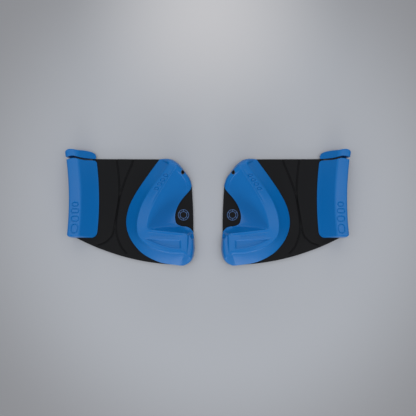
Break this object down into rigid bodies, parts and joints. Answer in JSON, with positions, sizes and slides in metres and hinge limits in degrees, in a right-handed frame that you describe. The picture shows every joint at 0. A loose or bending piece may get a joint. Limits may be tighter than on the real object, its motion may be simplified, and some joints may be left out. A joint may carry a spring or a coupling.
{
  "type": "leg pad pair",
  "caption": "Handed pair of moulded leg pads lying face up: black side panel, V-shaped front shin pad, bowed calf bar and a separate block above it.",
  "frame": {"origin": "middle of the pair on the plane that both pads lie on", "axes": "+X from the left pad to the right pad, +Y up the leg towards the top blocks, +Z out of the panels towards the pads"},
  "size_m": [0.767, 0.3183, 0.0581],
  "materials": {
    "pad_blue": "satin moulded polyurethane skin with a fine pebble grain",
    "panel_black": "matt moulded EVA with a fine grain",
    "mark_blue": "muted blue raised ring",
    "backing_hook": "woven hook tape sheet",
    "hook_tape": "woven hook tape sheet",
    "loop_cloth": "brushed loop cloth",
    "plate_nylon": "glass-filled nylon, satin",
    "eyelet_black": "satin liner",
    "insert_brass": "knurled",
    "screw_steel": "zinc plated"
  },
  "bodies": {
    "root": {"left_backing_sheet": "backing_hook", "left_side_panel": "panel_black", "left_position_mark": "mark_blue", "left_front_loop_sheet": "loop_cloth", "left_front_hook_sheet": "hook_tape", "left_front_base_plate": "plate_nylon", "left_front_inserts": "insert_brass", "left_front_screws": "screw_steel", "left_front_pad": "pad_blue", "left_front_eyelet": "eyelet_black", "left_rear_loop_sheet": "loop_cloth", "left_rear_hook_sheet": "hook_tape", "left_rear_base_plate": "plate_nylon", "left_rear_inserts": "insert_brass", "left_rear_screws": "screw_steel", "left_rear_pad": "pad_blue", "left_top_block": "pad_blue", "right_backing_sheet": "backing_hook", "right_side_panel": "panel_black", "right_position_mark": "mark_blue", "right_front_loop_sheet": "loop_cloth", "right_front_hook_sheet": "hook_tape", "right_front_base_plate": "plate_nylon", "right_front_inserts": "insert_brass", "right_front_screws": "screw_steel", "right_front_pad": "pad_blue", "right_front_eyelet": "eyelet_black", "right_rear_loop_sheet": "loop_cloth", "right_rear_hook_sheet": "hook_tape", "right_rear_base_plate": "plate_nylon", "right_rear_inserts": "insert_brass", "right_rear_screws": "screw_steel", "right_rear_pad": "pad_blue", "right_top_block": "pad_blue"}
  },
  "joints": []
}
